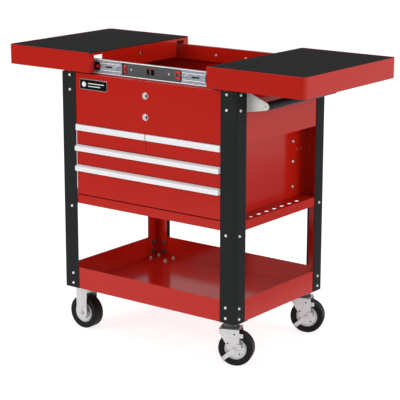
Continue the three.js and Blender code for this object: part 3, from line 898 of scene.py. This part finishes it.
def locks():
    """Each lock turns as one: plug, and in front a ring, keyway slot and block over the plug's right side, all
    flat dark as painted shade, and its cam behind the panel.
    """
    ring_in, ring_out, ring_back, ring_front = 0.0082, 0.0090, -0.0004, 0.0003
    ring_outline = [(ring_in, ring_back), (ring_in, ring_front), (ring_out, ring_front),
                    (ring_out, ring_back), (ring_in, ring_back)]
    sunk = 0.0004
    for name in ("lid_lock", "drawer_lock"):
        low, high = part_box(name + "_cylinder")
        refined(name + "_cylinder", 0.0006, 3, FINISHES["bright_zinc"])
        centre = (low + high) / 2
        face = Vector((centre.x, low.y, centre.z))
        # Painted shade: the ring, the slot and the right-side block are flat dark in place of the recess's and the
        # plug's shadow.
        ring = turned("ring", ring_outline, face, (0, -1, 0), 36)
        slot = block("slot", (face.x - 0.0015, face.y - sunk, face.z - 0.0036),
                     (face.x - 0.0003, face.y + sunk, face.z + 0.0036), 0.0002)
        shaded_side = block("shaded_side", (face.x + 0.0030, face.y - 0.0007, face.z - 0.0060),
                        (face.x + 0.0102, face.y + sunk, face.z + 0.0060), 0.0004)
        fit_out(joined(name + "_keyway_shade", [ring, slot, shaded_side]), name, "slide_grey", material=SHADE_AND_WASHER_DARK)
        cam = block(name + "_cam", (centre.x - 0.006, high.y - 0.0025, centre.z - 0.026),
                    (centre.x + 0.006, high.y - 0.0005, centre.z + 0.006), 0.0008)
        fit_out(cam, name, "zinc_plate")


# ---------------------------------------------------------------- push handle

def handle():
    """The grip with its three-ringed ends, and the screws of its brackets."""
    bore, groove, round_end = 0.011, 0.0008, 0.0015
    groove_pitch, grooves, bracket_sheet = 0.004, 3, 0.003
    low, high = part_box("handle_grip")
    centre = (low + high) / 2
    radius = (high.z - low.z) / 2
    half = (high.y - low.y) / 2
    outline = [(bore, -half), (radius - round_end, -half), (radius, -half + round_end)]
    for start in (-half + 0.012, half - 0.021):
        for i in range(grooves):
            y = start + i * groove_pitch
            outline += [(radius, y), (radius - groove, y + 0.0006), (radius - groove, y + 0.0016),
                        (radius, y + 0.0022)]
    outline += [(radius, half - round_end), (radius - round_end, half), (bore, half), (bore, -half)]
    grip = turned("handle_grip_sleeve", outline, centre, (0, 1, 0), 48)
    fit_out(grip, "cart_frame", "grip_vinyl", ["handle_grip"])
    for name, sy in FRONT_REAR:
        low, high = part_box("handle_bracket_" + name)
        outer = outer_y(low, high, sy)
        spot = (centre.x, outer, centre.z)
        fasten(f"handle_end_screw_{name}", SCREW, [(spot, (0, sy, 0))], "cart_frame")
        foot = outer - sy * 0.013
        root = low.x + bracket_sheet
        spots = [((root, foot, z), (1, 0, 0)) for z in (low.z + 0.018, high.z - 0.026)]
        fasten(f"handle_foot_screws_{name}", SCREW, spots, "cart_frame")


# ---------------------------------------------------------------- casters

TURN = {joint["child"]: joint for joint in frame["joints"]}
UP = Vector((0, 0, 1))
RIGID_NUT_REACH, SWIVEL_NUT_REACH = 0.0316, 0.0342
CHEEK = 0.0316              # from the wheel's middle to a fork cheek's outer face


def mirrored(outline):
    """An outline for turned(), carried on over its other half and closed."""
    return outline + [(radius, -along) for radius, along in reversed(outline)] + [outline[0]]


def upright(axle):
    """A turn that lays a flat part's x across the wheel, its y up and its z along the axle."""
    across = axle.cross(UP).normalized()
    return Matrix((across, UP, across.cross(UP))).transposed().to_4x4()


def wheel_frame(place):
    """The wheel's centre and axle direction, the axle pointing to the front."""
    joint = TURN["wheel_" + place]
    centre = Vector(joint["pos_m"])
    axle = Vector(joint["axis"])
    return centre, (axle if axle.y < 0 else -axle)


def tyre(place, centre, axle):
    """A round-shouldered tyre with a lip that grips the rim."""
    radius, half, lip, shoulder, steps = 0.0635, 0.024, 0.0408, 0.0055, 6
    outline = [(0.0428, -half + 0.006), (lip, -half + 0.0048), (lip + 0.0006, -half + 0.0030),
               (lip + 0.0035, -half + 0.0012), (radius - 0.014, -half + 0.0006),
               (radius - 0.010, -half)]
    for i in range(steps + 1):
        swing = math.radians(-90 + 90 * i / steps)
        outline.append((radius - shoulder + (shoulder - 0.0002) * math.cos(swing),
                        -half + shoulder + shoulder * math.sin(swing)))
    outline.append((radius, -half + 0.012))
    piece = turned("tyre_tread_" + place, mirrored(outline), centre, axle, 72)
    fit_out(piece, "wheel_" + place, "tyre_rubber", ["tyre_" + place])


def hub(place, centre, axle):
    """A dished pressed disc with a boss, and five dimples on each side, each marked by a small dark dome of
    painted shade.
    """
    boss, web, rim = 0.0258, 0.0176, 0.0425
    dimples, dimple_reach, dimple_sink = 5, 0.0245, 0.0008
    outline = [(0.0064, -boss), (0.0125, -boss), (0.0140, -boss + 0.0015), (0.0146, -web - 0.0022),
               (0.0168, -web - 0.0006), (0.0300, -web), (0.0345, -web - 0.0006),
               (0.0362, -web - 0.0022), (0.0388, -web - 0.0022), (0.0400, -web - 0.0008),
               (rim - 0.0004, -web - 0.0004), (rim - 0.0004, -0.0165), (rim, -0.0160)]
    piece = turned("hub_disc_" + place, mirrored(outline), centre, axle, 64)
    fit_out(piece, "wheel_" + place, "zinc_plate", ["wheel_hub_" + place])
    across = axle.cross(UP).normalized()
    spots = []
    for i in range(dimples):
        angle = math.radians(90 + 360 / dimples * i)
        reach = (across * math.cos(angle) + UP * math.sin(angle)) * dimple_reach
        for side in (-1, 1):
            spots.append((centre + reach + axle * side * (web - dimple_sink), axle * side))
    # Painted shade: dark domes set into the web in place of the dimples' shadow.
    fasten("hub_holes_" + place, RIVET, spots, "wheel_" + place, "slide_grey", SHADE_AND_WASHER_DARK)


def axle_nuts(place, centre, axle, reach, body):
    """The nut on each end of an axle bolt."""
    spots = [(centre + axle * side * reach, axle * side) for side in (-1, 1)]
    fasten("axle_nuts_" + place, NUT, spots, body)


def plate_bolts(place, low, high):
    """Bolts up through the caster's top plate, with their nuts on the tray's floor."""
    plate_sheet, tray_sheet, from_end, from_side = 0.003, 0.0015, 0.012, 0.011
    corners = [(x, y) for x in (low.x + from_end, high.x - from_end)
               for y in (low.y + from_side, high.y - from_side)]
    under = high.z - plate_sheet
    spots = [((x, y, under), (0, 0, -1)) for x, y in corners]
    fasten("plate_bolts_" + place, BOLT, spots, "cart_frame")
    floor = tray_floor + tray_sheet
    spots = [((x, y, floor), (0, 0, 1)) for x, y in corners]
    fasten("plate_nuts_" + place, NUT, spots, "cart_frame")


def pressed_panel(name, centre, axle, bottom, top, side, body):
    """A raised stadium pressed into a fork cheek, drawn upright on the cheek's outer face."""
    width, depth = 0.027, 0.0030
    length = top - bottom
    bpy.ops.object.select_all(action="DESELECT")
    bpy.ops.mesh.primitive_cylinder_add(vertices=32, radius=width / 2, depth=depth)
    piece = settle(name)
    edit_all(piece)
    bpy.ops.mesh.select_all(action="DESELECT")
    leave_edit()
    for vertex in piece.data.vertices:
        vertex.select = vertex.co.y > SAME
    bpy.ops.object.mode_set(mode="EDIT")
    bpy.ops.mesh.select_mode(type="VERT")
    bpy.ops.transform.translate(value=(0, length - width, 0))
    leave_edit()
    rounded(piece, depth * 0.45, 3)
    spot = Vector((centre.x, centre.y, bottom + width / 2)) + axle * (side * CHEEK)
    piece.data.transform(Matrix.Translation(spot) @ upright(axle))
    fix_normals(piece)
    fit_out(piece, body, "zinc_plate")


def casters():
    """Two rigid casters on the left and two swivel ones with brakes on the right."""
    for place, sx, _ in CORNERS:
        centre, axle = wheel_frame(place)
        tyre(place, centre, axle)
        hub(place, centre, axle)
        if sx < 0:
            low, high = rigid_fork(place, centre, axle)
        else:
            low, high = swivel_fork(place, centre, axle)
        plate_bolts(place, low, high)


def rigid_fork(place, centre, axle):
    """A fork that is one with its top plate. Gives the box that its bolts go by."""
    node = "rigid_fork_" + place
    refined(node, 0.0007)
    low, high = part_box(node)
    axle_nuts(place, centre, axle, RIGID_NUT_REACH, "cart_frame")
    for side, name in ((1, "outer"), (-1, "inner")):
        pressed_panel(f"fork_pressing_{name}_{place}", centre, axle, centre.z + 0.020, high.z - 0.012,
                      side, "cart_frame")
    return low, high


def swivel_fork(place, centre, axle):
    """A fork that turns under its top plate, with its brake. Gives the top plate's box."""
    node = "swivel_fork_" + place
    body = "swivel_" + place
    refined(node, 0.0007)
    # Painted shade: the zinc top plate takes the dark slide grey for the shadow it sits in under the tray.
    refined("swivel_plate_" + place, 0.0006, material=FINISHES["slide_grey"])
    refined("brake_lever_" + place, 0.0007, 3)
    axle_nuts(place, centre, axle, SWIVEL_NUT_REACH, body)
    pivot = Vector(TURN[body]["pos_m"])
    crown = Vector((pivot.x, pivot.y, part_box(node)[1].z))
    race(place, crown, body)
    fork_tab(place, crown, axle, body)
    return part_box("swivel_plate_" + place)


def fork_tab(place, crown, axle, body):
    """The stamped tab, and the tooling holes at the back of the fork's outer cheek drawn as dark domes of painted
    shade.
    """
    tab_sink, hole_sink = 0.002, 0.0009
    tab = block("fork_tab_" + place, (-0.052, -0.030, -0.0012), (-0.034, -0.014, 0.0012), 0.0009)
    tab.data.transform(Matrix.Translation(crown + axle * (CHEEK - tab_sink)) @ upright(axle))
    fit_out(tab, body, "zinc_plate")
    across = axle.cross(UP).normalized()
    spots = []
    for reach, drop in ((-0.020, 0.017), (0.004, 0.052)):
        level = Vector((crown.x, crown.y, crown.z - drop))
        spots.append((level + across * reach + axle * (CHEEK - hole_sink), axle))
    # Painted shade: dark domes in place of the holes' shadow.
    fasten("fork_holes_" + place, RIVET, spots, body, "slide_grey", SHADE_AND_WASHER_DARK)


def race(place, spot, body):
    """The swivel's ball race cup under the top plate."""
    outline = [(0.0230, -0.0006), (0.0305, -0.0006), (0.0322, 0.0012), (0.0322, 0.0034),
               (0.0300, 0.0052), (0.0290, 0.0052), (0.0290, 0.0022), (0.0230, 0.0010),
               (0.0230, -0.0006)]
    piece = turned("swivel_race_" + place, outline, spot, (0, 0, 1), 48)
    # Painted shade: the zinc race cup takes the dark slide grey for the shadow under the plate.
    fit_out(piece, body, "slide_grey")


# ---------------------------------------------------------------- studio

CART_MIDDLE = Vector((0, 0, 0.6))


def ground(name, height):
    """A wide flat sheet at a height."""
    bpy.ops.object.select_all(action="DESELECT")
    bpy.ops.mesh.primitive_plane_add(size=90, location=(0, 0, height))
    return settle(name)


def studio_floor():
    """The white floor that the camera sees. The cart neither reflects it nor is lit by it."""
    floor = ground("studio_floor", 0)
    finish = Finish("studio_floor")
    finish.set("Emission Color", rgb(0.78, 0.78, 0.78))
    finish.set("Emission Strength", 1.0)
    floor.data.materials.append(finish.look(rgb(0.38, 0.38, 0.38), 0.9))
    floor.visible_diffuse = False
    floor.visible_glossy = False
    floor.visible_shadow = False


def studio_bounce():
    """The graded sheet just under the floor, unseen by the camera, that the cart reflects."""
    to_right, to_rear_right = (1.0, 0.0, 0.0), (0.6, 0.8, 0.0)
    grades = ((to_rear_right, -3.0, -1.2), (to_right, 0.95, 0.6),
              (to_right, 2.08, 2.16), (to_right, 2.32, 2.40))
    far_share, beyond_share = 0.6, 0.4
    bounce = ground("studio_bounce", -0.002)
    finish = Finish("studio_bounce")
    spot = finish.node("ShaderNodeTexCoord", output="Object")
    masks = []
    for direction, start, stop in grades:
        along = finish.node("ShaderNodeVectorMath", {"operation": "DOT_PRODUCT"},
                            {0: spot, 1: direction}, output="Value")
        masks.append(finish.node("ShaderNodeMapRange", {"interpolation_type": "SMOOTHSTEP"},
                                 {"Value": along, "From Min": start, "From Max": stop}))
    front, near, far, beyond = masks
    level = front * (1 - (1 - near) * (1 - far * far_share - beyond * beyond_share))
    finish.set("Emission Color", finish.blend(level, rgb(0.06, 0.06, 0.06), rgb(0.60, 0.60, 0.60)))
    finish.set("Emission Strength", 1.0)
    bounce.data.materials.append(finish.look(
        finish.blend(level, rgb(0.25, 0.25, 0.25), rgb(0.56, 0.56, 0.56)), 0.9))
    bounce.visible_camera = False


def studio():
    """The floor, the sheet under it, an even white sky and five soft lamps."""
    studio_floor()
    studio_bounce()
    world = bpy.data.worlds.new("studio")
    bpy.context.scene.world = world
    world.use_nodes = True
    sky = world.node_tree.nodes["Background"]
    sky.inputs["Color"].default_value = rgb(1.0, 1.0, 1.0)
    sky.inputs["Strength"].default_value = 0.56

    lamp("key_light", (-2.2, -4.2, 2.4), (2.4, 2.0), 98)
    lamp("fill_light", (3.4, -3.4, 2.0), (2.0, 2.0), 38)
    lamp("right_light", (4.6, 1.2, 1.9), (2.6, 1.6), 85)
    lamp("top_light", (0.0, 0.4, 4.6), (4.0, 4.0), 36)
    back_light = lamp("back_light", (-3.0, 4.5, 3.0), (3.0, 2.4), 60)
    back_light.visible_glossy = False
    bpy.context.scene.view_settings.view_transform = "Standard"


def lamp(name, spot, size, power):
    """A soft rectangle of light that looks at the cart's middle."""
    data = bpy.data.lights.new(name, "AREA")
    data.shape = "RECTANGLE"
    data.size, data.size_y = size
    data.energy = power
    light = bpy.data.objects.new(name, data)
    light.location = spot
    aim = CART_MIDDLE - Vector(spot)
    light.rotation_mode = "QUATERNION"
    light.visible_camera = False
    light.rotation_quaternion = aim.to_track_quat("-Z", "Y")
    bpy.context.scene.collection.objects.link(light)
    return light


def camera():
    """A long lens from the front right, a little above."""
    azimuth, elevation = math.radians(37.52), math.radians(13.6)
    target, distance = Vector((-0.0288, -0.002, 0.5229)), 5.592
    back = Vector((math.sin(azimuth) * math.cos(elevation), -math.cos(azimuth) * math.cos(elevation),
                   math.sin(elevation)))
    data = bpy.data.cameras.new("camera")
    data.sensor_width = 36
    data.lens = 133.97
    data.shift_x = 0.025
    data.shift_y = -0.0125
    view = bpy.data.objects.new("camera", data)
    view.location = target + back * distance
    view.rotation_mode = "QUATERNION"
    view.rotation_quaternion = (-back).to_track_quat("-Z", "Y")
    bpy.context.scene.collection.objects.link(view)
    bpy.context.scene.camera = view


# ---------------------------------------------------------------- assembly

camera()
studio()
sheet_metal()
guard_bolts()
case_bolts()
back_rivets()
drawer_liners()
lid_stops()
slide_screws()
slide_retainers()
slide_lips()
slide_members()
for channel in ("front_slide_channel", "rear_slide_channel"):
    refined(channel, 0.0004)
badge()
locks()
handle()
casters()
for template in (BOLT, SCREW, NUT, RIVET):
    bpy.data.objects.remove(template)
